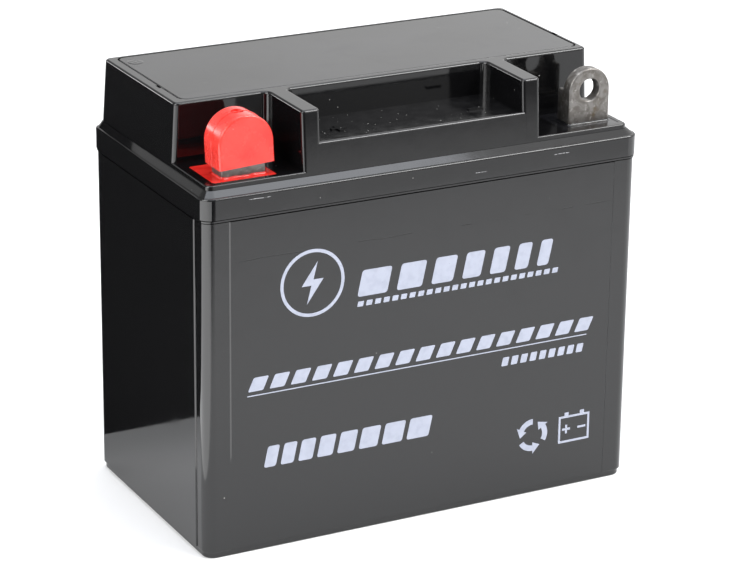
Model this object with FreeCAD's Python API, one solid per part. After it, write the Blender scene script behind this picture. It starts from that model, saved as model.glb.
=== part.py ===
import FreeCAD, Part
import os

# Sealed 12 V lead-acid motorcycle battery, in millimetres.
# +Z up, X along the long side, terminals at the front (-Y).
# Origin: centre of the footprint, on the underside of the case.

# ---- Driving dimensions -------------------------------------------------
LENGTH = 137.0          # over the lid skirt, along X
DEPTH = 76.0            # over the lid skirt, along Y
HEIGHT = 125.2          # underside to the top of the vent block
CASE_HEIGHT = 99.5      # top rim of the case = lower edge of the lid skirt

# Case
CASE_INSET = 0.55       # case wall behind the skirt
PANEL_RAISE = 0.3       # raised field on each face
PANEL_MARGIN_X = 8.0    # from the skirt line to the field, front and back
PANEL_MARGIN_Y = 6.5    # the same on the two ends
CASE_CORNER = 3.2
PLINTH_HEIGHT = 1.8
PLINTH_INSET = 1.0
PLINTH_EDGE = 0.5       # rounding round the underside
CASE_EDGE = 0.35        # rounding above the plinth
WALL = 2.4
FLOOR = 2.8
CELLS = 6
PARTITION = 1.4
JOINT_GROOVE = 0.3      # thin grooves above and below the heat-seal bead
JOINT_BEAD = 0.5
JOINT_DEPTH = 0.6
JOINT_PROUD = 0.2       # how far the bead stands out of the case wall
TONGUE = 1.0            # heat-seal tongue thickness
TONGUE_HEIGHT = 1.4
TONGUE_CORNER = 2.5

# Lid
SKIRT_TOP = 105.6
SKIRT_CORNER = 4.0
SKIRT_EDGE = 0.6
LEDGE_LAND = 0.12       # flat strip between the skirt's rounding and the bevel
LEDGE_TUCK = 0.2        # top of the bevel, in front of the tier's foot
TIER_BASE = 107.0
TIER_TOP = 108.3
TIER_INSET = 2.9        # at the front
TIER_INSET_END = 2.5
TIER_INSET_REAR = 1.0
TIER_CORNER = 2.0
TIER_OVERLAP = 0.4      # how far the tier reaches down into the ledge
TIER_EDGE = 0.45        # rounding along the tier's top, beside the terminals
END_DRAFT = 1.0         # how far each end leans in over the height of the block
FRONT_DRAFT = 1.4
REAR_DRAFT = 0.7
BLOCK_FRONT = -12.7     # front wall of the vent block
BLOCK_CORNER = 1.5
EDGE = 0.75             # rounding along the top edges
NOSE_EDGE = 1.1         # rounding up the front of each arm
ROOT = 2.0              # rounding where an arm meets the block
ARM_INNER = 31.5
ARM_OUTER = 37.1
TRAY_FLOOR = 115.6
LIP_RADIUS = 0.8
SKIN = 2.4              # lid wall over the gas space
MARK_HEIGHT = 0.4
MARK_ROOT = 0.2         # how far a mark is rooted in the floor
MARK_SIZE = 4.6
MARK_STROKE = 1.3
MARK_X = 21.5
MARK_Y = -25.0

# Vent plate in the top of the block
PLATE_X = (-61.7, 63.3)
PLATE_Y = (-10.1, 34.4)
PLATE_THICK = 2.2
PLATE_GAP = 0.5
PLATE_CORNER = 2.2
PLATE_EDGE = 0.25
SHELF = 1.4             # shelf that the plate is welded to
WELL_FLOOR = 115.0
VENT_NOTCH = (2.6, 0.6, 0.9)
VENT_NOTCH_Y = 2.4
CHIMNEY_RADIUS = 5.4
CHIMNEY_BORE = 3.6
CHIMNEY_TOP = 120.6
CHIMNEY_Y = 12.2
VALVE_WALL = 1.5
VALVE_TOP = 122.4
VALVE_SKIRT = 116.0
VALVE_EDGE = 0.8
VALVE_CLEARANCE = 0.4   # between an end valve cap and the chamber wall

# Terminals
POSITIVE_X = -53.15
NEGATIVE_X = 56.15
POSITIVE_FRONT = -31.3  # front face of the flag
NEGATIVE_FRONT = -29.6
FLAG_HALF = 6.65
FLAG_THICK = 3.7
FLAG_ARCH = 117.7
FLAG_EDGE = 0.45
BOLT_RADIUS = 3.2
BOLT_HEIGHT = 118.0
RIB = 1.5
RIB_DEPTH = 2.7
RIB_TOP = 118.0
RIB_EDGE = 0.4
RIB_ROOT = 0.6          # how far the ribs run into the flag
FOOT_THICK = 1.5
FLANGE_THICK = 1.4
FLANGE_SIDE = 1.0       # how far the flange stands out of the flag, each way
FLANGE_FRONT = 0.8
FLANGE_REAR = 1.6
FLANGE_CORNER = 1.5
POST_RADIUS = 4.5
POST_GAP = 0.05
POST_BACK = 3.7         # post axis behind the flag's front face
POST_FOOT = 96.0
WELL_DEPTH = 2.5
SEAL_DROP = 0.1
POSITIVE_WELL = (-63.1, -44.0, -33.1, -17.0)
NEGATIVE_WELL = (46.4, 64.3, -33.1, -17.0)
WELL_CORNER = 1.0
RING_SECTION = 0.9
RING_SEAT = 1.9
RING_GAP = 0.02
BOSS_UNDERSIDE = 102.3

# Terminal cap
CAP_GAP = 0.6
CAP_TILT = -3.0         # it sits a little askew, in degrees about Y
CAP_REAR_GAP = 0.9
CAP_FRONT_GAP = 0.6
CAP_WALL = 0.95
CAP_FOOT = 111.6
CAP_EDGE = 0.7
DIMPLE_RADIUS = 1.75
DIMPLE_DEPTH = 0.7

# Plate groups
POSITIVE_PLATES = 4
POSITIVE_THICK = 1.5
NEGATIVE_THICK = 1.2
PLATE_HALF = 33.4
PLATE_TOP = 82.0
SEPARATOR_HALF = 34.6
SEPARATOR_TOP = 84.0
CELL_GAP = 0.15
LUG_WIDTH = 9.0
LUG_DEPTH = 2.0         # how far a lug reaches up into its strap
STRAP_Y = 26.0
STRAP_WIDTH = 13.0
STRAP_BASE = 85.5
STRAP_TOP = 89.5
STRAP_MARGIN = 0.1      # strap past the outer plates
WELD_HEIGHT = 91.5
WELD_RADIUS = 3.2
RISER_TOP = 96.0
TOMBSTONE_TOP = 95.5
TOMBSTONE_THICK = 2.4

# ---- Derived ------------------------------------------------------------
HALF_X = LENGTH / 2
HALF_Y = DEPTH / 2
IN_X = HALF_X - CASE_INSET - WALL
IN_Y = HALF_Y - CASE_INSET - WALL
CELL_WIDTH = (2 * IN_X - (CELLS - 1) * PARTITION) / CELLS
WELL_BASE = TIER_TOP - WELL_DEPTH
PLATE_BASE = HEIGHT - PLATE_THICK
TIER_ROOT = TIER_BASE - TIER_OVERLAP
VALVE_RADIUS = CHIMNEY_RADIUS + VALVE_WALL
PAST = 1.0              # how far a cutting tool runs past the face it opens
SMALL = 1e-4            # tolerance when edges are picked by their place


# ---- Helpers ------------------------------------------------------------
def vec(x, y, z):
    return FreeCAD.Vector(x, y, z)


def box(x, y, z):
    """A box between pairs of limits."""
    corner = vec(x[0], y[0], z[0])
    return Part.makeBox(x[1] - x[0], y[1] - y[0], z[1] - z[0], corner)


def cylinder(radius, base, length, axis):
    return Part.makeCylinder(radius, length, base, axis)


def upright(radius, x, y, z):
    return cylinder(radius, vec(x, y, z[0]), z[1] - z[0], vec(0, 0, 1))


def vertical(edge):
    """True for a straight edge that climbs, leaning or not."""
    if not isinstance(edge.Curve, Part.Line):
        return False
    first, last = edge.Vertexes[0].Point, edge.Vertexes[-1].Point
    return abs(last.z - first.z) > 0.9 * edge.Length


def at_height(edge, z):
    bound = edge.BoundBox
    return abs(bound.ZMin - z) < SMALL and abs(bound.ZMax - z) < SMALL


def fillet(shape, radius, chosen):
    return shape.makeFillet(radius, [e for e in shape.Edges if chosen(e)])


def rounded(x, y, z, radius):
    """A box with its upright edges rounded."""
    return fillet(box(x, y, z), radius, vertical)


def polygon_face(points):
    return Part.Face(Part.makePolygon(points + points[:1]))


def rectangle(x, y, z):
    return [vec(x[0], y[0], z), vec(x[1], y[0], z), vec(x[1], y[1], z), vec(x[0], y[1], z)]


def tapered(low, high, radius):
    """A block with flat leaning sides between two rectangles (x, y, z)."""
    base, top = rectangle(*low), rectangle(*high)
    faces = [polygon_face(base[::-1]), polygon_face(top)]
    for i in range(4):
        j = (i + 1) % 4
        faces.append(polygon_face([base[i], base[j], top[j], top[i]]))
    return fillet(Part.makeSolid(Part.makeShell(faces)), radius, vertical)


def rounded_outline(x, y, z, radius):
    """Closed wire round a rectangle with arcs at its corners."""
    slab = rounded(x, y, (z, z + PAST), radius)
    return [f for f in slab.Faces if f.BoundBox.ZMax < z + SMALL][0].OuterWire


def inset(front, rear=None, end=None):
    """X and Y limits inside the skirt line."""
    rear = front if rear is None else rear
    end = front if end is None else end
    return (end - HALF_X, HALF_X - end), (front - HALF_Y, HALF_Y - rear)


def grow(limits, amount):
    return limits[0] - amount, limits[1] + amount


def write(name, shape):
    shape.exportStep("parts/" + name + ".step")
    bound = shape.BoundBox
    print(f"{name:26s} solids {len(shape.Solids)} valid {shape.isValid()} "
          f"z {bound.ZMin:.2f}..{bound.ZMax:.2f} mm3 {shape.Volume:.0f}")


def cell_span(k):
    start = k * (CELL_WIDTH + PARTITION) - IN_X
    return start, start + CELL_WIDTH


def cell_centre(k):
    return sum(cell_span(k)) / 2


def positive_side(k):
    """-1 where a cell's positive strap is at the front, +1 at the rear."""
    return -1 if k % 2 == 0 else 1


# ---- Case ---------------------------------------------------------------
def tongue():
    """The ring that stands on the case rim and melts into the lid."""
    outside = CASE_INSET + (WALL - TONGUE) / 2
    z = (CASE_HEIGHT, CASE_HEIGHT + TONGUE_HEIGHT)
    outer = rounded(*inset(outside), z, TONGUE_CORNER)
    inner = rounded(*inset(outside + TONGUE), z, TONGUE_CORNER - TONGUE)
    return outer.cut(inner)


def case_outside():
    z = (PLINTH_HEIGHT, CASE_HEIGHT - JOINT_BEAD - 2 * JOINT_GROOVE)
    body = rounded(*inset(CASE_INSET), z, CASE_CORNER)
    body = fillet(body, CASE_EDGE, lambda e: at_height(e, PLINTH_HEIGHT))
    plinth = rounded(*inset(PLINTH_INSET), (0, z[0]), CASE_CORNER)
    plinth = fillet(plinth, PLINTH_EDGE, lambda e: at_height(e, 0))
    neck = rounded(*inset(CASE_INSET + JOINT_DEPTH), (z[1], CASE_HEIGHT), CASE_CORNER)
    bead_z = (z[1] + JOINT_GROOVE, CASE_HEIGHT - JOINT_GROOVE)
    bead = rounded(*inset(CASE_INSET - JOINT_PROUD), bead_z, CASE_CORNER)
    x_full, y_full = inset(CASE_INSET - PANEL_RAISE)
    fields = (z[0] + CASE_EDGE, z[1])
    wide = raised_fields((PANEL_MARGIN_X - HALF_X, HALF_X - PANEL_MARGIN_X), y_full, fields)
    ends = raised_fields(x_full, (PANEL_MARGIN_Y - HALF_Y, HALF_Y - PANEL_MARGIN_Y), fields)
    return body.fuse([plinth, neck, bead, wide, ends]).removeSplitter()


def raised_fields(x, y, z):
    """A slab through the case whose two ends stand proud, with bevelled sides."""
    slab = box(x, y, z)
    return slab.makeChamfer(PANEL_RAISE, [e for e in slab.Edges if vertical(e)])


def case():
    shell = case_outside().fuse(tongue())
    for k in range(CELLS):
        shell = shell.cut(box(cell_span(k), (-IN_Y, IN_Y), (FLOOR, CASE_HEIGHT)))
    for k in range(CELLS - 1):
        shell = shell.cut(weld_plug(k))
    return shell.removeSplitter()


# ---- Lid ----------------------------------------------------------------
def skirt_and_ledge():
    """Skirt band, then a bevelled ledge that rises to the foot of the tier."""
    skirt = rounded(*inset(0), (CASE_HEIGHT, SKIRT_TOP), SKIRT_CORNER)
    skirt = fillet(skirt, SKIRT_EDGE, lambda e: at_height(e, SKIRT_TOP))
    start = SKIRT_EDGE + LEDGE_LAND
    radius = SKIRT_CORNER - start
    low = rounded_outline(*inset(start), SKIRT_TOP, radius)
    foot = inset(TIER_INSET - LEDGE_TUCK, TIER_INSET_REAR - LEDGE_TUCK / 2, TIER_INSET_END - LEDGE_TUCK)
    high = rounded_outline(*foot, TIER_BASE, TIER_CORNER + LEDGE_TUCK)
    return skirt.fuse(Part.makeLoft([low, high], True, True))


def upper_envelope():
    """Everything above the ledge lies inside this leaning block."""
    x, y = inset(TIER_INSET, TIER_INSET_REAR, TIER_INSET_END)
    low = (x, y, TIER_ROOT)
    high = (grow(x, -END_DRAFT), (y[0] + FRONT_DRAFT, y[1] - REAR_DRAFT), HEIGHT)
    return tapered(low, high, TIER_CORNER)


def arm_plan():
    """Plan of the vent block with its two forward arms, as one solid."""
    tall = (TIER_ROOT - PAST, HEIGHT + PAST)
    plan = box((-HALF_X, HALF_X), (BLOCK_FRONT, HALF_Y + PAST), tall)
    for side in (-1, 1):
        x = sorted((side * ARM_INNER, side * ARM_OUTER))
        plan = plan.fuse(box(x, (-HALF_Y - PAST, BLOCK_FRONT), tall))
    plan = plan.removeSplitter()

    def root(edge):
        spot = edge.CenterOfMass
        at_arm = min(abs(abs(spot.x) - ARM_INNER), abs(abs(spot.x) - ARM_OUTER)) < SMALL
        return vertical(edge) and at_arm and abs(spot.y - BLOCK_FRONT) < SMALL

    return fillet(plan, ROOT, root)


def block_and_arms():
    solid = upper_envelope().common(arm_plan())

    def arm_nose(edge):
        return vertical(edge) and edge.CenterOfMass.y < (BLOCK_FRONT - HALF_Y) / 2

    def block_corner(edge):
        spot = edge.CenterOfMass
        return vertical(edge) and abs(spot.x) > ARM_OUTER + ROOT + PAST and abs(spot.y - BLOCK_FRONT) < SMALL

    solid = fillet(solid, NOSE_EDGE, arm_nose)
    solid = fillet(solid, BLOCK_CORNER, block_corner)
    return fillet(solid, EDGE, lambda e: at_height(e, HEIGHT))


def tier():
    slab = box((-HALF_X, HALF_X), (-HALF_Y, HALF_Y), (TIER_ROOT, TIER_TOP))
    solid = upper_envelope().common(slab)
    return fillet(solid, TIER_EDGE, lambda e: at_height(e, TIER_TOP))


def tray():
    """Raised floor between the arms, with a rounded lip along its open front."""
    span = grow((-ARM_INNER, ARM_INNER), PAST)
    body = box(span, (-HALF_Y, BLOCK_FRONT + PAST), (TIER_ROOT, TRAY_FLOOR))
    front = front_at(TRAY_FLOOR - LIP_RADIUS / 2)
    centre = vec(span[0], front + LIP_RADIUS, TRAY_FLOOR - LIP_RADIUS / 2)
    lip = cylinder(LIP_RADIUS, centre, span[1] - span[0], vec(1, 0, 0))
    body = upper_envelope().common(body)
    sharp = box(span, (-HALF_Y, front + LIP_RADIUS), (centre.z, TRAY_FLOOR + PAST))
    return body.cut(sharp).fuse(lip)


def front_at(z):
    """Y of the leaning front wall at a height."""
    return TIER_INSET - HALF_Y + FRONT_DRAFT * (z - TIER_ROOT) / (HEIGHT - TIER_ROOT)


def polarity_marks():
    """Raised plus and minus bars on the tray floor, beside their terminals."""
    z = (TRAY_FLOOR - MARK_ROOT, TRAY_FLOOR + MARK_HEIGHT)
    reach, half = MARK_SIZE / 2, MARK_STROKE / 2
    across, along = (MARK_Y - half, MARK_Y + half), (MARK_Y - reach, MARK_Y + reach)
    plus = box((-MARK_X - reach, -MARK_X + reach), across, z)
    bar = box((-MARK_X - half, -MARK_X + half), along, z)
    minus = box((MARK_X - reach, MARK_X + reach), across, z)
    return [plus.fuse(bar).removeSplitter(), minus]


def gas_pockets():
    """Head space over each cell; the ribs left between them meet the partitions."""
    low = CASE_HEIGHT - PAST
    end = HALF_X - TIER_INSET_END - END_DRAFT - SKIN
    fore = TIER_INSET + SKIN - HALF_Y
    back = HALF_Y - TIER_INSET_REAR - REAR_DRAFT - SKIN
    pockets = []
    for k in range(CELLS):
        x = (max(cell_span(k)[0], -end), min(cell_span(k)[1], end))
        ceiling = BOSS_UNDERSIDE if k in (0, CELLS - 1) else TIER_TOP - SKIN
        pockets.append(box(x, (fore, BLOCK_FRONT + SKIN), (low, ceiling)))
        pockets.append(box(x, (BLOCK_FRONT + SKIN, back), (low, WELL_FLOOR - SKIN)))
        under = (max(x[0], SKIN - ARM_INNER), min(x[1], ARM_INNER - SKIN))
        if under[1] > under[0]:
            front = front_at(TRAY_FLOOR) + SKIN
            pockets.append(box(under, (front, BLOCK_FRONT + SKIN), (low, TRAY_FLOOR - SKIN)))
    return pockets


def plate_seat():
    """Recess for the vent plate, the vent chamber under it and two vent notches."""
    seat = rounded(grow(PLATE_X, PLATE_GAP), grow(PLATE_Y, PLATE_GAP),
                   (PLATE_BASE, HEIGHT + PAST), PLATE_CORNER + PLATE_GAP)
    chamber = rounded(grow(PLATE_X, -SHELF), grow(PLATE_Y, -SHELF),
                      (WELL_FLOOR, PLATE_BASE), PLATE_CORNER)
    return [seat, chamber] + vent_notches()


def vent_notches():
    """Small gaps at both ends of the plate that let gas out."""
    length, depth, drop = VENT_NOTCH
    y = (VENT_NOTCH_Y, VENT_NOTCH_Y + length)
    z = (HEIGHT - drop, HEIGHT + PAST)
    x = grow(PLATE_X, PLATE_GAP)
    return [box((x[0] - depth, x[0]), y, z), box((x[1], x[1] + depth), y, z)]


def chimney_x(k):
    """Middle of the cell, or as near as the valve cap fits inside the vent chamber."""
    room = grow(PLATE_X, -SHELF - VALVE_RADIUS - VALVE_CLEARANCE)
    return min(max(cell_centre(k), room[0]), room[1])


def chimney(k):
    return upright(CHIMNEY_RADIUS, chimney_x(k), CHIMNEY_Y, (WELL_FLOOR - PAST, CHIMNEY_TOP))


def chimney_bore(k):
    return upright(CHIMNEY_BORE, chimney_x(k), CHIMNEY_Y, (WELL_FLOOR - SKIN - PAST, HEIGHT))


def seal_well(limits):
    x, y = limits[:2], limits[2:]
    return rounded(x, y, (WELL_BASE, TIER_TOP + PAST), WELL_CORNER)


def post_passage(x, front):
    """Bore for the terminal post, with the O-ring seat around its mouth."""
    y = front + POST_BACK
    bore = upright(POST_RADIUS + POST_GAP, x, y, (BOSS_UNDERSIDE - PAST, WELL_BASE + PAST))
    seat_radius = POST_RADIUS + 2 * RING_SECTION
    seat = upright(seat_radius, x, y, (WELL_BASE - RING_SEAT, WELL_BASE + PAST))
    return [bore, seat]


def lid():
    solid = skirt_and_ledge().fuse([tier(), tray(), block_and_arms()] + polarity_marks())
    solid = solid.removeSplitter()
    solid = solid.cut(gas_pockets() + plate_seat())
    solid = solid.fuse([chimney(k) for k in range(CELLS)])
    holes = [chimney_bore(k) for k in range(CELLS)]
    holes += [seal_well(POSITIVE_WELL), seal_well(NEGATIVE_WELL), tongue()]
    holes += post_passage(POSITIVE_X, POSITIVE_FRONT)
    holes += post_passage(NEGATIVE_X, NEGATIVE_FRONT)
    return solid.cut(holes).removeSplitter()


def vent_cover_plate():
    plate = rounded(PLATE_X, PLATE_Y, (PLATE_BASE, HEIGHT), PLATE_CORNER)
    return fillet(plate, PLATE_EDGE, lambda e: at_height(e, HEIGHT))


def valve_cap(k):
    """Rubber cup over a chimney; gas lifts its skirt and it closes again."""
    x = chimney_x(k)
    cup = upright(VALVE_RADIUS, x, CHIMNEY_Y, (VALVE_SKIRT, VALVE_TOP))
    cup = fillet(cup, VALVE_EDGE, lambda e: at_height(e, VALVE_TOP))
    return cup.cut(upright(CHIMNEY_RADIUS, x, CHIMNEY_Y, (VALVE_SKIRT - PAST, CHIMNEY_TOP)))


# ---- Terminals ----------------------------------------------------------
def flag(x, front):
    """Upright lead plate with an arched head and the bolt hole."""
    y = (front, front + FLAG_THICK)
    lower = box((x - FLAG_HALF, x + FLAG_HALF), y, (WELL_BASE, FLAG_ARCH))
    arch = cylinder(FLAG_HALF, vec(x, front, FLAG_ARCH), FLAG_THICK, vec(0, 1, 0))
    plate = lower.fuse(arch).removeSplitter()

    def face_edge(edge):
        bound = edge.BoundBox
        return bound.YLength < SMALL and bound.ZMax > WELL_BASE + SMALL

    return fillet(plate, FLAG_EDGE, face_edge)


def terminal(x, front):
    """Lead terminal: flag, nut channel behind it, flange and post."""
    back = front + FLAG_THICK
    rear = back + RIB_DEPTH
    inner = FLAG_HALF - RIB
    pieces = []
    for side in (-1, 1):
        span = sorted((x + side * inner, x + side * FLAG_HALF))
        pieces.append(box(span, (back - RIB_ROOT, rear), (WELL_BASE, RIB_TOP)))
    pieces = [fillet(p, RIB_EDGE, lambda e: at_height(e, RIB_TOP)) for p in pieces]
    foot_z = (WELL_BASE, TIER_TOP + FOOT_THICK)
    pieces.append(box((x - inner, x + inner), (back - RIB_ROOT, rear), foot_z))
    flange_x = grow((x - FLAG_HALF, x + FLAG_HALF), FLANGE_SIDE)
    flange_z = (WELL_BASE, WELL_BASE + FLANGE_THICK)
    pieces.append(rounded(flange_x, (front - FLANGE_FRONT, rear + FLANGE_REAR), flange_z, FLANGE_CORNER))
    pieces.append(upright(POST_RADIUS, x, front + POST_BACK, (POST_FOOT, WELL_BASE)))
    whole = flag(x, front).fuse(pieces).removeSplitter()
    start = vec(x, front - PAST, BOLT_HEIGHT)
    hole = cylinder(BOLT_RADIUS, start, FLAG_THICK + 2 * PAST, vec(0, 1, 0))
    return whole.cut(hole)


def terminal_seal(limits, x, front):
    """Cast resin that fills the well around a terminal."""
    resin = rounded(limits[:2], limits[2:], (WELL_BASE, TIER_TOP - SEAL_DROP), WELL_CORNER)
    return resin.cut(terminal(x, front)).cut(post_passage(x, front))


def o_ring(x, front):
    centre = vec(x, front + POST_BACK, WELL_BASE - RING_SEAT / 2)
    return Part.makeTorus(POST_RADIUS + RING_SECTION, RING_SECTION - RING_GAP, centre)


def arched(half, y, foot, arch):
    """A slab with a round head, centred on the positive terminal."""
    lower = box((POSITIVE_X - half, POSITIVE_X + half), y, (foot, arch))
    head = cylinder(half, vec(POSITIVE_X, y[0], arch), y[1] - y[0], vec(0, 1, 0))
    above = box((POSITIVE_X - half, POSITIVE_X + half), y, (arch, arch + half))
    return lower.fuse(head.common(above)).removeSplitter()


def terminal_cap():
    """Soft red cap that pushes down over the positive terminal."""
    rear = POSITIVE_FRONT + FLAG_THICK + RIB_DEPTH
    inside_y = (POSITIVE_FRONT - CAP_FRONT_GAP, rear + CAP_REAR_GAP)
    outside_y = grow(inside_y, CAP_WALL)
    half = FLAG_HALF + CAP_GAP
    outside = arched(half + CAP_WALL, outside_y, CAP_FOOT, FLAG_ARCH)

    def rim(edge):
        bound = edge.BoundBox
        return bound.YLength < SMALL and not at_height(edge, CAP_FOOT)

    outside = fillet(outside, CAP_EDGE, rim)
    hollow = arched(half, inside_y, CAP_FOOT - PAST, FLAG_ARCH)
    top = FLAG_ARCH + half + CAP_WALL
    middle_y = (outside_y[0] + outside_y[1]) / 2
    dimple = upright(DIMPLE_RADIUS, POSITIVE_X, middle_y, (top - DIMPLE_DEPTH, top + PAST))
    cap = outside.cut(hollow).cut(dimple)
    middle = vec(POSITIVE_X, middle_y, (CAP_FOOT + top) / 2)
    cap.rotate(middle, vec(0, 1, 0), CAP_TILT)
    return cap


# ---- Cells --------------------------------------------------------------
def separator_thickness():
    plates = POSITIVE_PLATES * POSITIVE_THICK + (POSITIVE_PLATES + 1) * NEGATIVE_THICK
    return (CELL_WIDTH - 2 * CELL_GAP - plates) / (2 * POSITIVE_PLATES)


def stack(k):
    """X limits of each sheet in a cell, as lists of negatives, positives, separators."""
    layers = {"negative": [], "positive": [], "separator": []}
    x = cell_span(k)[0] + CELL_GAP
    count = 2 * POSITIVE_PLATES + 1
    for i in range(count):
        kind = "negative" if i % 2 == 0 else "positive"
        thick = NEGATIVE_THICK if kind == "negative" else POSITIVE_THICK
        layers[kind].append((x, x + thick))
        x += thick
        if i < count - 1:
            layers["separator"].append((x, x + separator_thickness()))
            x += separator_thickness()
    return layers


def lug_y(k, kind):
    side = positive_side(k) * (1 if kind == "positive" else -1)
    return side * STRAP_Y


def plate_group(k, kind):
    """Pasted plates of one polarity, each with its lug."""
    y = lug_y(k, kind)
    plates = []
    for x in stack(k)[kind]:
        sheet = box(x, (-PLATE_HALF, PLATE_HALF), (FLOOR, PLATE_TOP))
        lug = box(x, (y - LUG_WIDTH / 2, y + LUG_WIDTH / 2), (PLATE_TOP, STRAP_BASE + LUG_DEPTH))
        plates.append(sheet.fuse(lug).removeSplitter())
    return Part.makeCompound(plates)


def separators(k):
    limits = (-SEPARATOR_HALF, SEPARATOR_HALF)
    sheets = [box(x, limits, (FLOOR, SEPARATOR_TOP)) for x in stack(k)["separator"]]
    return Part.makeCompound(sheets)


def strap(k, kind):
    """Cast bar over the lugs, with a riser to a terminal or a lug at the partition."""
    y = lug_y(k, kind)
    sheets = stack(k)[kind]
    start, end = cell_span(k)
    x = grow((sheets[0][0], sheets[-1][1]), STRAP_MARGIN)
    width = (y - STRAP_WIDTH / 2, y + STRAP_WIDTH / 2)
    outward = kind == "negative"
    last = CELLS - 1 if outward else 0
    extra = []
    if k == last:
        post_x, front = (NEGATIVE_X, NEGATIVE_FRONT) if outward else (POSITIVE_X, POSITIVE_FRONT)
        extra.append(upright(POST_RADIUS, post_x, front + POST_BACK, (STRAP_TOP - PAST, RISER_TOP)))
    else:
        wall = (end - TOMBSTONE_THICK, end) if outward else (start, start + TOMBSTONE_THICK)
        x = (x[0], end) if outward else (start, x[1])
        extra.append(box(wall, width, (STRAP_BASE, TOMBSTONE_TOP)))
    bar = box(x, width, (STRAP_BASE, STRAP_TOP)).fuse(extra).removeSplitter()
    return bar.cut(plate_group(k, kind))


def weld_plug(k):
    """Lead that joins two cells through the partition between them."""
    x = cell_span(k)[1]
    centre = vec(x, lug_y(k, "negative"), WELD_HEIGHT)
    return cylinder(WELD_RADIUS, centre, PARTITION, vec(1, 0, 0))


# ---- Build --------------------------------------------------------------
os.makedirs("parts", exist_ok=True)
write("case", case())
write("lid", lid())
write("vent_cover_plate", vent_cover_plate())
for k in range(CELLS):
    cell = str(k + 1)
    write("valve_cap_" + cell, valve_cap(k))
    write("positive_plates_" + cell, plate_group(k, "positive"))
    write("negative_plates_" + cell, plate_group(k, "negative"))
    write("separators_" + cell, separators(k))
    write("positive_strap_" + cell, strap(k, "positive"))
    write("negative_strap_" + cell, strap(k, "negative"))
for k in range(CELLS - 1):
    write("intercell_weld_" + str(k + 1), weld_plug(k))
write("positive_terminal", terminal(POSITIVE_X, POSITIVE_FRONT))
write("negative_terminal", terminal(NEGATIVE_X, NEGATIVE_FRONT))
write("positive_terminal_seal", terminal_seal(POSITIVE_WELL, POSITIVE_X, POSITIVE_FRONT))
write("negative_terminal_seal", terminal_seal(NEGATIVE_WELL, NEGATIVE_X, NEGATIVE_FRONT))
write("positive_o_ring", o_ring(POSITIVE_X, POSITIVE_FRONT))
write("negative_o_ring", o_ring(NEGATIVE_X, NEGATIVE_FRONT))
write("terminal_cap", terminal_cap())
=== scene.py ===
import bmesh
import bpy
import math
from mathutils import Matrix, Vector, geometry, noise


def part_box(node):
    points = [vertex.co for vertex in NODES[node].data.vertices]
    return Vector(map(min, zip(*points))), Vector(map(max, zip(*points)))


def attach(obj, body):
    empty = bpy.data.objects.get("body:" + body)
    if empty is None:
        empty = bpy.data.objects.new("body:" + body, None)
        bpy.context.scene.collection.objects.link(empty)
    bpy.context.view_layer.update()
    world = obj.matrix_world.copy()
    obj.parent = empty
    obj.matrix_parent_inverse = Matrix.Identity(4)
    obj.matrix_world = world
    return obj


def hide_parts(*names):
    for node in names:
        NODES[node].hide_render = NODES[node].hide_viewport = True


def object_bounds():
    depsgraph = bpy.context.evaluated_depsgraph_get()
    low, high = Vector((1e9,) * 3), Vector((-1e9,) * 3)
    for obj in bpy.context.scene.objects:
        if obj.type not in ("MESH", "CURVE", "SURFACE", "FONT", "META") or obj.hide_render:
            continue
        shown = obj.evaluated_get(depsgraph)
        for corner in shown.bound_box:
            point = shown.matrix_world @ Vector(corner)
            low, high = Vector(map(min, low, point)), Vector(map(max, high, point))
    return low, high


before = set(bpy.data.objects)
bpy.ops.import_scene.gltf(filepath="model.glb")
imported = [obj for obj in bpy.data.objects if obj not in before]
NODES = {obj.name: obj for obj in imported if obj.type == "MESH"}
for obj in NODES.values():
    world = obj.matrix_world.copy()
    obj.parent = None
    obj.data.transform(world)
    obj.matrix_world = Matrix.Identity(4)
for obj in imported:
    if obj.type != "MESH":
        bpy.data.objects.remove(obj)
cad_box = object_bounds()

# Looks of a sealed motorcycle battery: glossy black moulded case and lid, cast lead terminals
# potted in resin, a soft red cap, and plain printed graphics on the front.
# Metres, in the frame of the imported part: +Z up, front at -Y.

MM = 0.001
BODY = "battery"
CAP_BODY = "terminal_cap"


# ---- Material building ----------------------------------------------------

class Nodes:
    """Short calls that add shader nodes to a node tree."""

    def __init__(self, tree):
        self.tree = tree
        self.coordinates = self.add("ShaderNodeTexCoord").outputs

    def add(self, kind, **settings):
        node = self.tree.nodes.new(kind)
        for key, value in settings.items():
            setattr(node, key, value)
        return node

    def feed(self, socket, value):
        """Gives a socket another node's output, or a constant."""
        if isinstance(value, bpy.types.NodeSocket):
            self.tree.links.new(value, socket)
        else:
            socket.default_value = value

    def step(self, value, low, high, to_low=0.0, to_high=1.0):
        """Maps low..high smoothly to to_low..to_high, and holds the ends."""
        mapped = self.add("ShaderNodeMapRange", interpolation_type="SMOOTHSTEP")
        self.feed(mapped.inputs["Value"], value)
        limits = {"From Min": low, "From Max": high, "To Min": to_low, "To Max": to_high}
        for socket, number in limits.items():
            mapped.inputs[socket].default_value = number
        return mapped.outputs["Result"]

    def math(self, operation, a, b=0.0):
        node = self.add("ShaderNodeMath", operation=operation)
        self.feed(node.inputs[0], a)
        self.feed(node.inputs[1], b)
        return node.outputs[0]

    def overlap(self, *masks):
        """Mask that is 1 only where every one of the masks is."""
        product = masks[0]
        for mask in masks[1:]:
            product = self.math("MULTIPLY", product, mask)
        return product

    def away(self, value, middle):
        """How far a value is from the middle, to either side."""
        return self.math("ABSOLUTE", self.math("SUBTRACT", value, middle))

    def part(self, vector, axis):
        """One component of a vector: X, Y or Z."""
        split = self.add("ShaderNodeSeparateXYZ")
        self.feed(split.inputs[0], vector)
        return split.outputs[axis]


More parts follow.
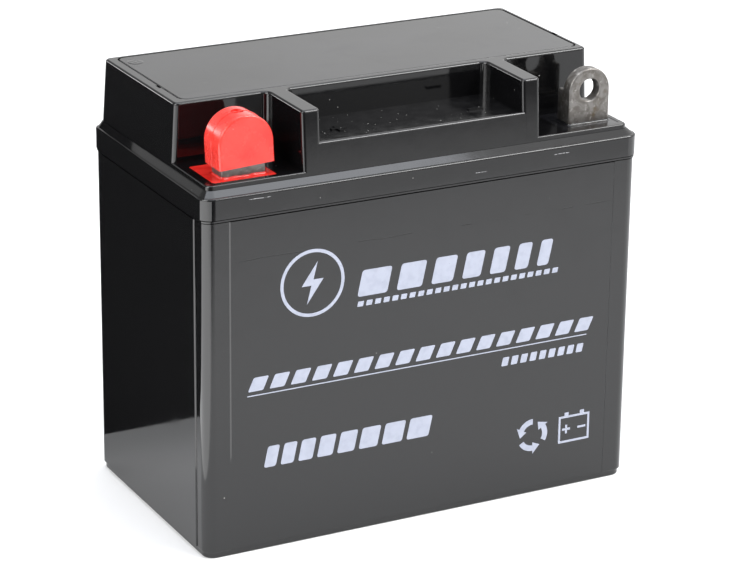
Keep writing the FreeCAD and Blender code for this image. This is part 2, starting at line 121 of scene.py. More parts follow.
class Finish(Nodes):
    """A procedural material: a Principled shader and what feeds it."""

    def __init__(self, name, colour, roughness, **sockets):
        self.material = bpy.data.materials.new(name)
        self.material.use_nodes = True
        super().__init__(self.material.node_tree)
        self.shader = self.tree.nodes["Principled BSDF"]
        self.shader.inputs["Base Color"].default_value = (*colour, 1)
        self.shader.inputs["Roughness"].default_value = roughness
        for socket, value in sockets.items():
            self.shader.inputs[socket.replace("_", " ")].default_value = value
        self.place = self.coordinates["Object"]
        self.normal = self.coordinates["Normal"]
        self.height = None

    def stretched(self, stretch):
        if stretch is None:
            return self.place
        mapping = self.add("ShaderNodeMapping")
        mapping.inputs["Scale"].default_value = stretch
        self.feed(mapping.inputs["Vector"], self.place)
        return mapping.outputs["Vector"]

    def noise(self, size, detail, stretch=None, distortion=0.0):
        """Cloudy noise from 0 to 1, with features about that size in metres."""
        texture = self.add("ShaderNodeTexNoise")
        texture.inputs["Scale"].default_value = 1 / size
        texture.inputs["Detail"].default_value = detail
        texture.inputs["Distortion"].default_value = distortion
        self.feed(texture.inputs["Vector"], self.stretched(stretch))
        return texture.outputs["Fac"]

    def specks(self, spacing, radius, share):
        """Mask of scattered dots: one cell in each spacing, a share of the cells filled."""
        cells = self.add("ShaderNodeTexVoronoi")
        cells.inputs["Scale"].default_value = 1 / spacing
        self.feed(cells.inputs["Vector"], self.place)
        edge = radius / spacing
        dot = self.step(cells.outputs["Distance"], 0.6 * edge, edge, 1.0, 0.0)
        draw = self.part(cells.outputs["Color"], "X")
        return self.overlap(dot, self.step(draw, share - 0.01, share + 0.01, 1.0, 0.0))

    def streak(self, x, z, half_length, half_width):
        """Mask of a level streak on an upright face, its ends and sides soft."""
        wander = self.step(self.noise(9 * MM, 2), 0.3, 0.7, -half_width, half_width)
        off = self.away(self.math("ADD", self.part(self.place, "Z"), wander), z)
        along = self.away(self.part(self.place, "X"), x)
        return self.overlap(self.step(off, 0.3 * half_width, half_width, 1.0, 0.0),
                            self.step(along, 0.85 * half_length, half_length, 1.0, 0.0))

    def tint(self, mask, colour):
        """Paints a colour over the base colour where the mask is 1."""
        socket = self.shader.inputs["Base Color"]
        mix = self.add("ShaderNodeMix", data_type="RGBA")
        self.feed(mix.inputs["Factor"], mask)
        if socket.is_linked:
            self.feed(mix.inputs[6], socket.links[0].from_socket)
        else:
            mix.inputs[6].default_value = socket.default_value[:]
        mix.inputs[7].default_value = (*colour, 1)
        self.feed(socket, mix.outputs[2])
        return self

    def roughen(self, mask, change):
        """Adds to the roughness where the mask is 1."""
        socket = self.shader.inputs["Roughness"]
        before = socket.links[0].from_socket if socket.is_linked else socket.default_value
        self.feed(socket, self.math("ADD", before, self.math("MULTIPLY", mask, change)))
        return self

    def relief(self, value, depth):
        """Adds surface relief: value from 0 to 1 stands for that depth in metres."""
        bump = self.add("ShaderNodeBump")
        bump.inputs["Distance"].default_value = depth
        self.feed(bump.inputs["Height"], value)
        if self.height is not None:
            self.feed(bump.inputs["Normal"], self.height)
        self.height = bump.outputs["Normal"]
        self.feed(self.shader.inputs["Normal"], self.height)
        return self

    def dusted(self, mask):
        """Lays matt grey dust where the mask is 1."""
        return self.tint(mask, DUST).roughen(mask, 0.5)


# ---- Materials ------------------------------------------------------------
# Colours are linear. Of a noise's range, 0.3 to 0.7 is where nearly all of it lies.

BLACK_PLASTIC = (0.0028, 0.0028, 0.0031)
DUST = (0.62, 0.61, 0.58)
DUST_RADIUS = 0.13 * MM
SCRATCH_HALF_WIDTH = 0.13 * MM
# Scratches on the skirt: share of the length from the left, rise from its lower edge and
# half length in millimetres.
SCRATCHES = ((0.124, 4.6, 3.4), (0.62, 2.2, 2.0), (0.81, 3.9, 2.6))
TRAY_HALF = 32 * MM      # half the length of the floor between the arms
TRAY_DROP = 7 * MM       # that floor is further than this below the lid's top
FLOW_LINE = 86.9 * MM    # above the underside
FLOW_HALF_WIDTH = 0.16 * MM


def black_gloss(name, roughness, speck_share):
    """Moulded black plastic: slightly uneven mirror gloss, faint smears and a few specks of dust."""
    finish = Finish(name, BLACK_PLASTIC, roughness, IOR=1.5)
    finish.roughen(finish.step(finish.noise(14 * MM, 4, distortion=1.2), 0.45, 0.75), 0.05)
    finish.relief(finish.noise(9 * MM, 2), 14e-6)
    finish.relief(finish.noise(1.3 * MM, 2), 2e-6)
    return finish.dusted(finish.specks(2.6 * MM, DUST_RADIUS, speck_share))


def lid_plastic():
    """The lid: the same gloss, with a few handling scratches on the skirt and a dusty tray."""
    finish = black_gloss("lid_plastic", 0.07, 0.10)
    low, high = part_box("lid")
    front = finish.step(finish.part(finish.normal, "Y"), -0.9, -0.7, 1.0, 0.0)
    broken = finish.overlap(front, finish.step(finish.noise(0.45 * MM, 3), 0.34, 0.56))
    for share, rise, half_length in SCRATCHES:
        x = low.x + share * (high.x - low.x)
        mark = finish.streak(x, low.z + rise * MM, half_length * MM, SCRATCH_HALF_WIDTH)
        mark = finish.overlap(mark, broken)
        finish.tint(mark, (0.30, 0.30, 0.31)).roughen(mark, 0.4)
    return settled_dust(finish, high.z - TRAY_DROP)


def settled_dust(finish, under):
    """Fine dust on the level floor between the arms, below that height."""
    floor = finish.overlap(
        finish.step(finish.part(finish.normal, "Z"), 0.97, 0.99),
        finish.step(finish.part(finish.place, "Z"), under - 1 * MM, under, 1.0, 0.0),
        finish.step(finish.away(finish.part(finish.place, "X"), 0.0),
                    TRAY_HALF - 2 * MM, TRAY_HALF, 1.0, 0.0))
    film = finish.overlap(floor, finish.step(finish.noise(4 * MM, 4), 0.3, 0.7, 0.35, 1.0))
    finish.tint(film, (0.0075, 0.0075, 0.0078)).roughen(film, 0.14)
    return finish.dusted(finish.overlap(floor, finish.specks(1.5 * MM, DUST_RADIUS, 0.32)))


def case_plastic():
    """The case: mirror gloss on the ends, a fine eroded grain on the front and back, and a
    faint flow line across the front where the melt met."""
    finish = black_gloss("case_plastic", 0.06, 0.035)
    low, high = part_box("case")
    facing = finish.part(finish.normal, "Y")
    grained = finish.step(finish.math("ABSOLUTE", facing), 0.75, 0.95)
    finish.roughen(grained, 0.12)
    finish.relief(finish.overlap(finish.noise(0.32 * MM, 4), grained), 8e-6)
    half_length = (high.x - low.x) / 2 - 6 * MM
    line = finish.overlap(
        finish.streak(0.0, low.z + FLOW_LINE, half_length, FLOW_HALF_WIDTH),
        finish.step(facing, -0.95, -0.8, 1.0, 0.0),
        finish.step(finish.noise(7 * MM, 3, stretch=(1, 0.1, 0.1)), 0.40, 0.55))
    return finish.roughen(line, 0.15).relief(line, -25e-6)


def plate_plastic():
    """The cover plate: duller, with a pale haze drawn out along it."""
    finish = black_gloss("plate_plastic", 0.12, 0.06)
    haze = finish.step(finish.noise(22 * MM, 3, stretch=(0.5, 1, 1)), 0.4, 0.7)
    return finish.roughen(haze, 0.06).tint(haze, (0.010, 0.010, 0.011))


def cast_lead(name):
    """Cast lead: dull grey, with pale oxide bloom, brown stains and file marks."""
    finish = Finish(name, (0.190, 0.182, 0.173), 0.38, Metallic=0.8)
    mottle = finish.step(finish.noise(2.6 * MM, 5, distortion=0.6), 0.35, 0.68)
    finish.tint(mottle, (0.115, 0.105, 0.095))
    stain = finish.step(finish.noise(4.5 * MM, 4), 0.55, 0.72)
    finish.tint(stain, (0.105, 0.082, 0.055))
    bloom = finish.step(finish.noise(1.3 * MM, 6), 0.57, 0.74)
    finish.tint(bloom, (0.34, 0.33, 0.315)).roughen(bloom, 0.35)
    finish.relief(finish.noise(0.5 * MM, 4), 45e-6)
    return finish.relief(finish.noise(0.35 * MM, 2, stretch=(0.15, 1, 1.6)), 18e-6)


def red_vinyl():
    """The cap: soft dip-moulded vinyl that light enters a little way."""
    finish = Finish("red_vinyl", (0.60, 0.034, 0.024), 0.20, IOR=1.5, Subsurface_Weight=0.25,
                    Subsurface_Radius=(0.0022, 0.0005, 0.0004), Subsurface_Scale=1.0)
    finish.tint(finish.step(finish.noise(5 * MM, 3), 0.42, 0.72), (0.52, 0.020, 0.014))
    finish.roughen(finish.step(finish.noise(3 * MM, 4), 0.4, 0.7), 0.12)
    finish.relief(finish.noise(1.6 * MM, 3), 12e-6)
    return finish.tint(finish.specks(2.2 * MM, 0.10 * MM, 0.14), (0.95, 0.70, 0.66))


def resin(name, colour, deep):
    """Potting resin: poured, so glossy and slightly rippled."""
    finish = Finish(name, colour, 0.10, IOR=1.54)
    finish.tint(finish.step(finish.noise(3 * MM, 3), 0.4, 0.7), deep)
    finish.roughen(finish.step(finish.noise(1.5 * MM, 3), 0.5, 0.8), 0.14)
    return finish.relief(finish.noise(2.4 * MM, 3), 40e-6)


def rubber():
    finish = Finish("black_rubber", (0.012, 0.012, 0.012), 0.62)
    finish.tint(finish.step(finish.noise(1.2 * MM, 4), 0.45, 0.7), (0.024, 0.023, 0.022))
    return finish.relief(finish.noise(0.4 * MM, 4), 14e-6)


def paste(name, colour, deep):
    """Pasted plate: porous active material with the ribs of its grid just showing."""
    finish = Finish(name, colour, 0.86)
    finish.tint(finish.step(finish.noise(1.1 * MM, 5), 0.38, 0.68), deep)
    finish.relief(finish.noise(0.35 * MM, 5), 60e-6)
    ribs = finish.add("ShaderNodeTexWave", bands_direction="Z")
    ribs.inputs["Scale"].default_value = 60
    finish.feed(ribs.inputs["Vector"], finish.place)
    return finish.relief(ribs.outputs["Fac"], 90e-6)


def glass_mat():
    """Separator: white felt of fine glass fibres."""
    finish = Finish("glass_mat", (0.78, 0.78, 0.74), 0.95)
    finish.tint(finish.step(finish.noise(1.5 * MM, 5), 0.4, 0.7), (0.62, 0.62, 0.58))
    fibres = finish.noise(0.25 * MM, 5, stretch=(1, 0.12, 1), distortion=2.0)
    return finish.relief(fibres, 80e-6)


def ink():
    """Silk-screened pale ink: faintly uneven, with worn pinholes."""
    finish = Finish("pale_ink", (0.31, 0.33, 0.40), 0.55)
    finish.tint(finish.step(finish.noise(2.5 * MM, 4), 0.4, 0.7), (0.275, 0.295, 0.36))
    finish.tint(finish.specks(1.4 * MM, 0.09 * MM, 0.10), (0.10, 0.10, 0.12))
    return finish.relief(finish.noise(0.3 * MM, 3), 8e-6)


# ---- Mesh helpers ---------------------------------------------------------

def piece(name, mesh, finish, body):
    """A new object of that mesh, riding on a CAD body."""
    thing = bpy.data.objects.new(name, mesh)
    bpy.context.scene.collection.objects.link(thing)
    thing.data.materials.clear()
    thing.data.materials.append(finish.material)
    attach(thing, body)
    return thing


def mesh_from(work, name, smooth_angle=None):
    """A mesh from a working one: flat, or smooth across edges of less than that many degrees."""
    mesh = bpy.data.meshes.new(name)
    bmesh.ops.recalc_face_normals(work, faces=work.faces)
    work.to_mesh(mesh)
    work.free()
    if smooth_angle is not None:
        mesh.shade_smooth()
        mesh.set_sharp_from_angle(angle=math.radians(smooth_angle))
    return mesh


def band(work, loop, other):
    """Faces between two loops with as many points."""
    for k in range(len(loop)):
        j = (k + 1) % len(loop)
        work.faces.new((loop[k], loop[j], other[j], other[k]))


def chain(name, rings, smooth_angle, closed=True):
    """A mesh through rings of points, joined end to end or closed at both ends."""
    work = bmesh.new()
    rings = [[work.verts.new(point) for point in ring] for ring in rings]
    following = rings[1:] + rings[:1] if closed else rings[1:]
    for here, after in zip(rings, following):
        band(work, here, after)
    if not closed:
        work.faces.new(rings[0])
        work.faces.new(rings[-1])
        work.normal_update()
    return mesh_from(work, name, smooth_angle)


def around(centre, radius, degrees):
    """The point on a circle, anticlockwise from +X."""
    angle = math.radians(degrees)
    return centre[0] + radius * math.cos(angle), centre[1] + radius * math.sin(angle)


def arc(centre, radius, start, end, count):
    return [around(centre, radius, start + (end - start) * i / (count - 1)) for i in range(count)]


def circle(centre, radius, sides):
    return [around(centre, radius, 360 * i / sides) for i in range(sides)]


def rounded(points, radius):
    """A convex or concave outline with each corner cut to a small curve."""
    out, steps = [], 4
    for i, here in enumerate(points):
        here = Vector(here)
        before, after = Vector(points[i - 1]) - here, Vector(points[(i + 1) % len(points)]) - here
        back = before.normalized() * min(radius, before.length * 0.45)
        ahead = after.normalized() * min(radius, after.length * 0.45)
        for k in range(steps + 1):
            t = k / steps
            out.append((here + back * (1 - t) ** 2 + ahead * t ** 2)[:])
    return out


def evenly(points, spacing, closed=True):
    """Points no further apart than about the spacing along a path."""
    out = []
    following = points[1:] + points[:1] if closed else points[1:]
    for a, b in zip(points, following):
        count = max(1, round((b - a).length / spacing))
        out += [a.lerp(b, i / count) for i in range(count)]
    return out if closed else out + points[-1:]


def outward(path, i, closed=True):
    """Unit vector square to a flat path at its point i, out of a path that runs anticlockwise."""
    if closed:
        along = path[(i + 1) % len(path)] - path[i - 1]
    else:
        along = path[min(i + 1, len(path) - 1)] - path[max(i - 1, 0)]
    return Vector((along.y, -along.x)).normalized()


def uneven(point, size, layer=0.0):
    """Noise from -1 to 1 over a flat path, with lumps about that size. Layers are unrelated."""
    return noise.noise(Vector((point[0] / size, point[1] / size, layer)))


# ---- Printed front --------------------------------------------------------
# Outlines in millimetres on the front panel: x to the right, z up.

INK_THICK = 0.05 * MM
INK_SINK = 0.02 * MM
ARROW_SHAFT = 62    # degrees of the circle that each arrow's shaft and head take
ARROW_HEAD = 34
front_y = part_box("case")[0].y


def print_on_front(name, outlines, finish):
    """Thin ink, one raised patch for each outline. A tuple is a ring: (outer, inner)."""
    work = bmesh.new()
    for outline in outlines:
        loops = outline if isinstance(outline, tuple) else (outline,)
        backs, faces = ([[work.verts.new((x * MM, y, z * MM)) for x, z in loop] for loop in loops]
                        for y in (front_y + INK_SINK, front_y - INK_THICK))
        for back, face in zip(backs, faces):
            band(work, back, face)
        for sides in (faces, backs):
            if len(sides) == 2:
                band(work, *sides)
            else:
                work.faces.new(sides[0])
    work.normal_update()
    bmesh.ops.triangulate(work, faces=[f for f in work.faces if len(f.verts) > 4])
    piece(name, mesh_from(work, name), finish, BODY)


def stripes(count, left, right, base, height, slant, gap, taper=1.0):
    """A row of slanted stripes. Each is taper times as wide as the one before it, and the gap
    is a share of the first one's width."""
    widths = [taper ** i for i in range(count)]
    unit = (right - left) / (sum(widths) + gap * (count - 1))
    lean = math.tan(math.radians(slant)) * height
    out, x = [], left
    for width in widths:
        end = x + width * unit
        corners = [(x, base), (end, base), (end + lean, base + height), (x + lean, base + height)]
        out.append(rounded(corners, height * 0.12))
        x = end + gap * unit
    return out


def bar(left, right, base, height):
    return [(left, base), (right, base), (right, base + height), (left, base + height)]


def emblem(x, z, radius, stroke):
    """A plain ring with a lightning bolt in it."""
    ring = (circle((x, z), radius, 48), circle((x, z), radius - stroke, 48))
    r = radius * 0.62
    bolt = [(0.25, 1.0), (-0.55, -0.12), (-0.06, -0.12), (-0.28, -1.0), (0.55, 0.16), (0.04, 0.16)]
    return [ring, [(x + r * u, z + r * v) for u, v in bolt]]


def three_arrows(x, z, radius, stroke):
    """Three bent arrows that chase each other round a circle."""
    centre, barb = (x, z), 0.55 * stroke
    out = []
    for turn in (90, 210, 330):
        neck = turn + ARROW_SHAFT
        head = [around(centre, radius + barb, neck),
                around(centre, radius - stroke / 2, neck + ARROW_HEAD),
                around(centre, radius - stroke - barb, neck)]
        out.append(arc(centre, radius, turn, neck, 8) + head
                   + arc(centre, radius - stroke, neck, turn, 8))
    return out


def battery_icon(x, z, half_x, half_z, stroke):
    """Outline of a battery with its two posts, a plus on the left and a minus on the right."""
    shell = tuple(bar(x - half, x + half, z - half_z + inset, 2 * (half_z - inset))
                  for half, inset in ((half_x, 0.0), (half_x - stroke, stroke)))
    plus, minus = x - half_x / 2, x + half_x / 2
    arm, half = 0.26 * half_x, stroke / 2
    posts = [bar(at - arm / 2, at + arm / 2, z + half_z, 1.6 * stroke) for at in (plus, minus)]
    level_bars = [bar(at - arm, at + arm, z - half, stroke) for at in (plus, minus)]
    upright_bars = [bar(plus - half, plus + half, base, arm - half) for base in (z + half, z - arm)]
    return [shell] + posts + level_bars + upright_bars


def printed_front():
    """The front's graphics, plain shapes throughout."""
    prints = {
        "print_emblem": emblem(x=-35.6, z=77.2, radius=9.8, stroke=0.95),
        "print_heading": stripes(7, left=-21.8, right=39.2, base=70.8, height=7.6,
                                 slant=12, gap=0.32, taper=0.86),
        "print_subheading": stripes(24, left=-21.8, right=42.4, base=67.9, height=1.5,
                                    slant=12, gap=0.5),
        "print_title": stripes(17, left=-55.2, right=53.4, base=48.4, height=4.0,
                               slant=24, gap=0.42)
        + [bar(left=-55.4, right=53.0, base=47.0, height=0.3)],
        "print_line": stripes(9, left=24.8, right=51.6, base=42.0, height=2.6,
                              slant=12, gap=0.5),
        "print_lower_line": stripes(8, left=-50.4, right=1.4, base=25.0, height=6.2,
                                    slant=12, gap=0.4, taper=1.1),
        "print_pictograms": three_arrows(x=35.9, z=18.7, radius=5.0, stroke=1.7)
        + battery_icon(x=49.9, z=18.4, half_x=5.2, half_z=4.2, stroke=0.65),
    }
    finish = ink()
    for name, outlines in prints.items():
        print_on_front(name, outlines, finish)


# ---- Terminals ------------------------------------------------------------

CAST_VOXEL = 0.28 * MM
CAST_RELIEF = 0.045 * MM
SMOOTHING = 3    # passes over the voxels
# Section of the resin at the lead's foot: out and up, as shares of its width and height.
MENISCUS = ((-0.25, -0.5), (-0.25, 1.0), (0.04, 0.94), (0.12, 0.50), (0.30, 0.22), (0.60, 0.07),
            (1.0, -0.02), (1.0, -0.5))


def cast_terminal(node, finish):
    """The lead flag as it comes out of the mould: soft edges and an uneven skin."""
    mesh = NODES[node].data.copy()
    mesh.name = node + "_cast"
    thing = piece(node + "_cast", mesh, finish, BODY)
    remesh = thing.modifiers.new("voxels", "REMESH")
    remesh.mode = "VOXEL"
    remesh.voxel_size = CAST_VOXEL
    bpy.context.view_layer.update()
    evaluated = thing.evaluated_get(bpy.context.evaluated_depsgraph_get())
    work = bmesh.new()
    work.from_mesh(evaluated.to_mesh())
    evaluated.to_mesh_clear()
    thing.modifiers.remove(remesh)
    for _ in range(SMOOTHING):
        bmesh.ops.smooth_vert(work, verts=work.verts, factor=0.5,
                              use_axis_x=True, use_axis_y=True, use_axis_z=True)
    work.normal_update()
    for vertex in work.verts:
        coarse = noise.noise(vertex.co / (3.1 * MM))
        fine = noise.noise(vertex.co / (0.9 * MM))
        vertex.co += vertex.normal * (0.6 * coarse + 0.4 * fine) * CAST_RELIEF
    cast = mesh_from(work, node + "_cast")
    cast.shade_smooth()
    cast.materials.append(finish.material)
    thing.data = cast
    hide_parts(node)
    return thing


def section_loops(mesh, point, normal):
    """Outlines of a mesh where a plane cuts it, each an ordered list of points."""
    work = bmesh.new()
    work.from_mesh(mesh)
    bmesh.ops.remove_doubles(work, verts=work.verts, dist=1e-6)
    cut = bmesh.ops.bisect_plane(work, geom=work.verts[:] + work.edges[:] + work.faces[:],
                                 dist=1e-7, plane_co=point, plane_no=normal)["geom_cut"]
    edges = {e for e in cut if isinstance(e, bmesh.types.BMEdge)}
    loops = []
    while edges:
        edge = edges.pop()
        first, last = edge.verts
        points = [first.co.copy(), last.co.copy()]
        while last is not first:
            following = next((e for e in last.link_edges if e in edges), None)
            if following is None:
                break
            edges.remove(following)
            last = following.other_vert(last)
            points.append(last.co.copy())
        if last is first:
            loops.append(points[:-1])
    work.free()
    return loops


def area_of(loop):
    """Area inside a flat loop, positive where it runs anticlockwise."""
    return sum(a.x * b.y - b.x * a.y for a, b in zip(loop, loop[1:] + loop[:1])) / 2


def meniscus(name, terminal_mesh, seal, finish, width, height, layer):
    """Resin that has crept up the lead: a small concave fillet round the foot of the flag."""
    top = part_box(seal)[1].z
    loops = section_loops(terminal_mesh, (0, 0, top), (0, 0, 1))
    loop = [p.xy for p in max(loops, key=lambda points: abs(area_of(points)))]
    if area_of(loop) < 0:
        loop.reverse()
    rings = []
    for i, point in enumerate(loop):
        swell = 1 + 0.35 * uneven(point, 2.0 * MM, layer)
        ring = []
        for out, up in MENISCUS:
            flat = point + outward(loop, i) * out * width * swell
            ring.append((flat.x, flat.y, top + up * height * (swell if up > 0 else 1)))
        rings.append(ring)
    piece(name, chain(name, rings, 50), finish, BODY)


# ---- Moulding marks -------------------------------------------------------

THREAD_SIDES = 6
FLASH_STEP = 0.9 * MM
FLASH_INSET = 0.50 * MM     # from the skirt's outside to the thread's middle
FLASH_CORNER = 3.2 * MM
FLASH_RADIUS = 0.13 * MM
FLASH_ROUGHNESS = 0.05 * MM
FLASH_LUMP = 0.20 * MM
FLASH_WAVE = 0.10 * MM      # up and down
PARTING_STEP = 0.7 * MM
PARTING_FOOT = 1.5 * MM     # both ends of the bead are lower than this on the cap
PARTING_RADIUS = 0.15 * MM
PARTING_ROUGHNESS = 0.03 * MM
GATE_FROM_LEFT = 3.2 * MM
GATE_FROM_REAR = 5.8 * MM
GATE_SIDES = 40
GATE_ROUGHNESS = 0.012 * MM
# Radius and rise in millimetres, from the rim to the cut stub in the middle.
GATE_DOME = ((2.3, -0.02), (2.2, 0.045), (1.9, 0.06), (1.0, 0.05), (0.45, 0.02), (0.3, 0.05))


def skirt_outline(inset, corner):
    """Points round the case at that inset from the skirt, anticlockwise."""
    low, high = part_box("lid")
    middle = (low + high) / 2
    x, y = (high.x - low.x) / 2 - inset, (high.y - low.y) / 2 - inset
    points = []
    for turn, (sx, sy) in enumerate(((1, 1), (-1, 1), (-1, -1), (1, -1))):
        centre = (middle.x + sx * (x - corner), middle.y + sy * (y - corner))
        points += arc(centre, corner, 90 * turn, 90 * turn + 90, 7)
    return [Vector(p) for p in points]


def joint_flash(finish):
    """Plastic squeezed out of the heat-sealed joint: an uneven thread under the skirt."""
    outline = evenly(skirt_outline(FLASH_INSET, FLASH_CORNER), FLASH_STEP)
    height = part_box("lid")[0].z
    rings = []
    for i, point in enumerate(outline):
        lump = max(0.0, uneven(point, 6 * MM, layer=5 / 3) - 0.15)
        radius = FLASH_RADIUS + FLASH_ROUGHNESS * uneven(point, 2.3 * MM) + FLASH_LUMP * lump
        middle = height + FLASH_WAVE * uneven(point, 4 * MM, layer=5)
        ring = []
        for across, up in circle((0, 0), radius, THREAD_SIDES):
            flat = point + outward(outline, i) * across
            ring.append((flat.x, flat.y, middle + up))
        rings.append(ring)
    piece("joint_flash", chain("joint_flash", rings, 80), finish, BODY)


def over_the_cap(low, middle):
    """Path over the cap in its middle plane, as x and z: from foot to foot, anticlockwise."""
    loop = section_loops(NODES["terminal_cap"].data, middle, (0, 1, 0))[0]
    flat = [Vector((p.x, p.z)) for p in loop]
    hull = [flat[i] for i in geometry.convex_hull_2d(flat)]
    foot = low.z + PARTING_FOOT
    right = max((i for i, p in enumerate(hull) if p.y < foot), key=lambda i: hull[i].x)
    path = hull[right:] + hull[:right]
    left = min((i for i, p in enumerate(path) if p.y < foot), key=lambda i: path[i].x)
    path = path[:left + 1] if left > 1 else path[::-1]
    return evenly(path, PARTING_STEP, closed=False)


def cap_parting(finish):
    """The bead that the mould's parting line left over the middle of the cap."""
    low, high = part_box("terminal_cap")
    middle = (low + high) / 2
    path = over_the_cap(low, middle)
    rings = []
    for i, point in enumerate(path):
        radius = PARTING_RADIUS + PARTING_ROUGHNESS * uneven(point, 3 * MM)
        ring = []
        for out, across in circle((0, 0), radius, THREAD_SIDES):
            spot = point + outward(path, i, closed=False) * out
            ring.append((spot.x, middle.y + across, spot.y))
        rings.append(ring)
    mesh = chain("cap_parting", rings, 80, closed=False)
    piece("cap_parting", mesh, finish, CAP_BODY)


def gate_mark(finish):
    """Low dome on the cover plate where the mould was filled and the gate cut off."""
    low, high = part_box("vent_cover_plate")
    centre = (low.x + GATE_FROM_LEFT, high.y - GATE_FROM_REAR)
    rings = [[(*point, high.z + rise * MM + GATE_ROUGHNESS * uneven(point, 0.7 * MM))
              for point in circle(centre, radius * MM, GATE_SIDES)]
             for radius, rise in GATE_DOME]
    mesh = chain("gate_mark", rings, 40, closed=False)
    piece("gate_mark", mesh, finish, BODY)


# ---- Stage ----------------------------------------------------------------
# Soft boxes light the battery. Around it are boards that only its gloss reflects, painted
# reflections: black flags paint the dark parts of the mirrored side and front, and glowing
# cards, which are no lamps, paint the pale ones.

VIEW_AZIMUTH = -27.84       # degrees
VIEW_ELEVATION = 20.52
VIEW_ROLL = 0.69
VIEW_DISTANCE = 0.879
VIEW_AIM = Vector((-0.6, -4.8, -5.8)) * MM    # from the middle of the battery
LENS = 148.1                # millimetres, as is the sensor
SENSOR = 36.0
CLIP = (0.05, 30.0)
STAGE_WHITE = (0.90, 0.90, 0.90)
FLAG_BLACK = (0.004, 0.004, 0.004)
BACKDROP = (0.92, 1.28)     # radiance at the left and at the right
ROOM = (0.45, 1.70)
NEUTRAL = (1.0, 1.0, 1.0)
SKY = (0.88, 0.92, 1.0)
LAMPS_AIM = Vector((0, 0, 0.06))
# Direction and distance from the lamps' aim, size in metres, watts and colour.
SOFTBOXES = {
    "softbox_key": ((0.68, -0.40, 0.74), 1.25, (0.45, 0.40), 10, NEUTRAL),
    "softbox_top": ((0.02, -0.02, 0.95), 0.95, (0.62, 0.9), 6.8, SKY),
    "softbox_left": ((-0.80, -0.35, 0.50), 1.2, (0.8, 0.6), 14, NEUTRAL),
    "softbox_front": ((0.43, -0.62, 0.66), 1.3, (0.25, 0.30), 4.5, NEUTRAL),
}


def studio_white():
    finish = Finish("studio_white", STAGE_WHITE, 0.7)
    return finish.tint(finish.step(finish.noise(0.6, 2), 0.3, 0.7), (0.885, 0.885, 0.888))


# Painted dark reflection: black cloth for the flags that only the gloss sees.
def flag_cloth():
    finish = Finish("flag_cloth", FLAG_BLACK, 1.0)
    return finish.tint(finish.step(finish.noise(0.1, 2), 0.3, 0.7), (0.006, 0.006, 0.006))


def flag_fading(name, direction, near, far, nearest=1.0, farthest=0.0):
    """A flag between distances along a direction, nearest and farthest as shares of white. It paints
    shade into the floor that the gloss reflects, a painted reflection.
    """
    finish = Finish(name, FLAG_BLACK, 1.0)
    reach = 0.0
    for axis, share in zip("XY", direction):
        component = finish.math("MULTIPLY", finish.part(finish.place, axis), share)
        reach = finish.math("ADD", component, reach)
    return finish.tint(finish.step(reach, near, far, nearest, farthest), STAGE_WHITE)


def glowing(name, strength, axis, middle, reach):
    """A glowing white card, which is no lamp, whose light fades out to both sides of the middle,
    along an axis: it paints pale reflections and highlights into the gloss.
    """
    finish = Finish(name, STAGE_WHITE, 1.0, Emission_Color=(1, 1, 1, 1))
    off = finish.away(finish.part(finish.place, axis), middle)
    light = finish.step(off, 0.3 * reach, reach, strength, 0.0)
    finish.feed(finish.shader.inputs["Emission Strength"], light)
    return finish


def level(x, y, z):
    """Corners of a level sheet, between two x and two y."""
    return [(x[0], y[0], z), (x[1], y[0], z), (x[1], y[1], z), (x[0], y[1], z)]


def upright(x, y, z):
    """Corners of an upright sheet that faces the front, between two x and two z."""
    return [(x[0], y, z[0]), (x[1], y, z[0]), (x[1], y, z[1]), (x[0], y, z[1])]


def sheet_of(name, corners, finish):
    """A flat stage sheet between four corners."""
    mesh = bpy.data.meshes.new(name)
    mesh.from_pydata([Vector(c) for c in corners], [], [(0, 1, 2, 3)])
    mesh.materials.append(finish.material)
    thing = bpy.data.objects.new(name, mesh)
    bpy.context.scene.collection.objects.link(thing)
    return thing


def add_board(name, corners, finish):
    """A black flag or a glowing card: a painted dark or pale reflection, since it only changes what
    the gloss reflects.
    """
    board = sheet_of(name, corners, finish)
    board.visible_camera = False
    board.visible_diffuse = False
    board.visible_shadow = False
    board.visible_transmission = False


def add_boards():
    """The flags and cards. Those on the floor lie just above it, in layers."""
    # Painted reflections: black and fading flags that only the gloss sees paint dark parts and
    # shaded floor into it.
    add_board("flag_left", upright(x=(-0.60, -0.072), y=0.0565, z=(0, 0.127)), flag_cloth())
    add_board("flag_side", level(x=(-0.60, -0.069), y=(-0.06, 0.0565), z=0.0004),
              flag_fading("flag_side", direction=(0, 1), near=0.015, far=0.056,
                          nearest=1.0, farthest=0.55))
    add_board("flag_camera", level(x=(-0.9, 0.010), y=(-1.4, -0.10), z=0.0005),
              flag_fading("flag_camera", direction=(-0.416, -0.909), near=0.19, far=0.33))
    add_board("flag_front", level(x=(0.012, 1.2), y=(-2.0, -0.295), z=0.0005),
              flag_fading("flag_front", direction=(0, -1), near=0.55, far=0.70,
                          nearest=0.66, farthest=0.10))
    # Painted highlights: glowing cards, which are no lamps, seen only in the gloss.
    add_board("card_left", level(x=(-1.2, -0.12), y=(-0.50, 0.42), z=0.0008),
              glowing("card_left", strength=2.0, axis="Y", middle=-0.04, reach=0.40))
    add_board("card_rear", upright(x=(-0.70, -0.32), y=0.90, z=(0.06, 0.32)),
              glowing("card_rear", strength=5.5, axis="X", middle=-0.51, reach=0.19))


def add_softbox(name, direction, distance, size, power, colour):
    """A rectangular lamp in that direction from the lamps' aim, turned to it."""
    lamp = bpy.data.lights.new(name, "AREA")
    lamp.shape = "RECTANGLE"
    lamp.size, lamp.size_y = size
    lamp.energy = power
    lamp.color = colour
    light = bpy.data.objects.new(name, lamp)
    towards = Vector(direction).normalized()
    light.location = LAMPS_AIM + towards * distance
    light.rotation_euler = towards.to_track_quat("Z", "Y").to_euler()
    bpy.context.scene.collection.objects.link(light)


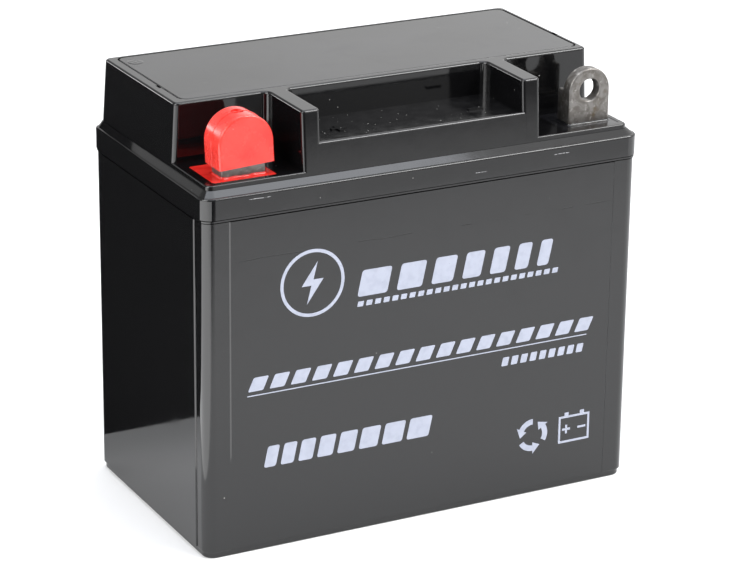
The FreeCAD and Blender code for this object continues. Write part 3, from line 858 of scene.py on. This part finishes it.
def add_world():
    """Studio surround: a pale backdrop low down at the rear, and a dim room above and in front,
    both brighter towards the right."""
    world = bpy.data.worlds.new("studio")
    bpy.context.scene.world = world
    world.use_nodes = True
    nodes = Nodes(world.node_tree)
    x, y, z = (nodes.part(nodes.coordinates["Generated"], axis) for axis in "XYZ")
    backdrop = nodes.step(x, 0.20, 0.55, *BACKDROP)
    room = nodes.step(x, 0.20, 0.52, *ROOM)
    low = nodes.step(z, 0.34, 0.47, 1.0, 0.0)
    seen = nodes.overlap(low, nodes.step(y, 0.0, 0.35))
    lift = nodes.math("MULTIPLY", seen, nodes.math("SUBTRACT", backdrop, room))
    background = world.node_tree.nodes["Background"]
    background.inputs["Color"].default_value = (1, 1, 1, 1)
    nodes.feed(background.inputs["Strength"], nodes.math("ADD", room, lift))


def add_camera():
    """A long lens, turned and rolled about a point near the battery's middle."""
    camera = bpy.data.objects.new("camera", bpy.data.cameras.new("camera"))
    camera.data.sensor_width = SENSOR
    camera.data.lens = LENS
    camera.data.clip_start, camera.data.clip_end = CLIP
    bpy.context.scene.collection.objects.link(camera)
    turn = Matrix.Rotation(math.radians(VIEW_AZIMUTH), 4, "Z")
    turn = turn @ Matrix.Rotation(math.radians(90 - VIEW_ELEVATION), 4, "X")
    turn = turn @ Matrix.Rotation(math.radians(VIEW_ROLL), 4, "Z")
    aim = (cad_box[0] + cad_box[1]) / 2 + VIEW_AIM
    back = turn.to_3x3() @ Vector((0, 0, 1))
    camera.matrix_world = Matrix.Translation(aim + back * VIEW_DISTANCE) @ turn
    bpy.context.scene.camera = camera


def add_stage():
    sheet_of("floor", level(x=(-4.0, 4.0), y=(-4.0, 4.0), z=0), studio_white())
    add_boards()
    for name, settings in SOFTBOXES.items():
        add_softbox(name, *settings)
    add_world()
    add_camera()
    bpy.context.scene.view_settings.view_transform = "Standard"


# ---- Building -------------------------------------------------------------

def dress(finishes):
    """Gives every CAD node the finish of its name or, without one, of its slot."""
    for name, node in NODES.items():
        slot = node.data.materials[0].name
        finish = finishes.get(name) or finishes[slot]
        node.data.materials[0] = finish.material


def build():
    """Dresses the CAD nodes, then adds the pieces that the CAD leaves out."""
    lead = cast_lead("cast_lead")
    red = resin("red_resin", (0.58, 0.024, 0.018), (0.48, 0.014, 0.010))
    black = resin("black_resin", (0.006, 0.006, 0.007), (0.010, 0.010, 0.011))
    lid, plate = lid_plastic(), plate_plastic()
    vinyl = red_vinyl()
    dress({
        "black_gloss": lid, "case": case_plastic(), "vent_cover_plate": plate,
        "lead": lead, "red_vinyl": vinyl, "red_resin": red, "black_resin": black,
        "black_rubber": rubber(), "glass_mat": glass_mat(),
        "positive_paste": paste("positive_paste", (0.075, 0.028, 0.012), (0.045, 0.018, 0.010)),
        "negative_paste": paste("negative_paste", (0.20, 0.20, 0.205), (0.13, 0.13, 0.135)),
    })
    positive = cast_terminal("positive_terminal", lead)
    negative = cast_terminal("negative_terminal", lead)
    meniscus("positive_meniscus", positive.data, "positive_terminal_seal", red,
             width=1.0 * MM, height=0.75 * MM, layer=3.0)
    meniscus("negative_meniscus", negative.data, "negative_terminal_seal", black,
             width=0.9 * MM, height=0.6 * MM, layer=7.0)
    printed_front()
    joint_flash(lid)
    cap_parting(vinyl)
    gate_mark(plate)


build()
add_stage()
